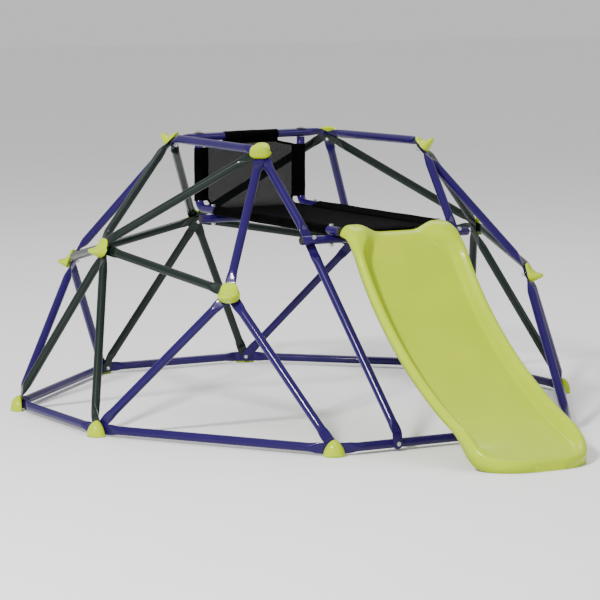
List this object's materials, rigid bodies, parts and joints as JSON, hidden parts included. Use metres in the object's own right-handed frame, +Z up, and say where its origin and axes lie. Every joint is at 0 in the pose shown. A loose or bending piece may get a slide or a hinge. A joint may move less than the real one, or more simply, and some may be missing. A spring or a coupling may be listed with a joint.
{
  "type": "dome climber with slide",
  "caption": "Geometric dome climber of painted steel tubes with a fabric lounge seat across its middle and a lime plastic slide at the front.",
  "frame": {"origin": "on the ground at the middle of the whole footprint, slide included", "axes": "+Z up, -Y towards the foot of the slide, +X to the right of someone looking along +Y from the slide"},
  "size_m": [1.8544, 2.4295, 0.9049],
  "materials": {
    "indigo_tube": "gloss",
    "green_tube": "gloss",
    "lime_plastic": "satin",
    "black_mesh": "matte",
    "zinc_steel": "satin",
    "black_plastic": "satin",
    "insert_plastic": "matte"
  },
  "bodies": {
    "root": {"top_tube_left": "indigo_tube", "top_tube_back": "indigo_tube", "top_tube_right": "indigo_tube", "corner_tube_back_left": "indigo_tube", "corner_tube_front_left": "indigo_tube", "corner_tube_back_right": "indigo_tube", "corner_tube_front_right": "indigo_tube", "left_tube_to_top_back": "green_tube", "left_tube_to_top_front": "green_tube", "left_tube_to_corner_back": "green_tube", "left_tube_to_corner_front": "green_tube", "left_tube_to_foot_back": "green_tube", "left_tube_to_foot_front": "green_tube", "back_tube_to_top_left": "green_tube", "back_tube_to_top_right": "green_tube", "back_tube_to_corner_left": "green_tube", "back_tube_to_corner_right": "green_tube", "back_tube_to_foot_left": "green_tube", "back_tube_to_foot_right": "green_tube", "right_tube_to_top_back": "green_tube", "right_tube_to_top_front": "green_tube", "right_tube_to_corner_back": "green_tube", "right_tube_to_corner_front": "green_tube", "right_tube_to_foot_back": "green_tube", "right_tube_to_foot_front": "green_tube", "leg_back_left_outer": "indigo_tube", "leg_back_left_inner": "indigo_tube", "leg_front_left_outer": "indigo_tube", "leg_front_left_inner": "indigo_tube", "leg_back_right_outer": "indigo_tube", "leg_back_right_inner": "indigo_tube", "leg_front_right_outer": "indigo_tube", "leg_front_right_inner": "indigo_tube", "ground_tube_left": "indigo_tube", "ground_tube_back_left": "indigo_tube", "ground_tube_back": "indigo_tube", "ground_tube_back_right": "indigo_tube", "ground_tube_right": "indigo_tube", "ground_tube_front_right": "indigo_tube", "ground_tube_front": "indigo_tube", "ground_tube_front_left": "indigo_tube", "portal_upper_leg_left": "indigo_tube", "portal_upper_leg_right": "indigo_tube", "portal_lower_leg_left": "indigo_tube", "portal_lower_leg_right": "indigo_tube", "cross_tube": "indigo_tube", "rear_cross_tube": "indigo_tube", "seat_rail_left": "indigo_tube", "seat_rail_right": "indigo_tube", "sling": "black_mesh", "slide": "lime_plastic", "top_grips": "lime_plastic", "side_grips": "lime_plastic", "foot_caps": "lime_plastic", "frame_bolts": "zinc_steel", "seat_bolts": "zinc_steel", "cap_nuts": "zinc_steel", "tube_plugs": "black_plastic", "saddle_washers": "black_plastic", "post_inserts": "insert_plastic"}
  },
  "joints": []
}
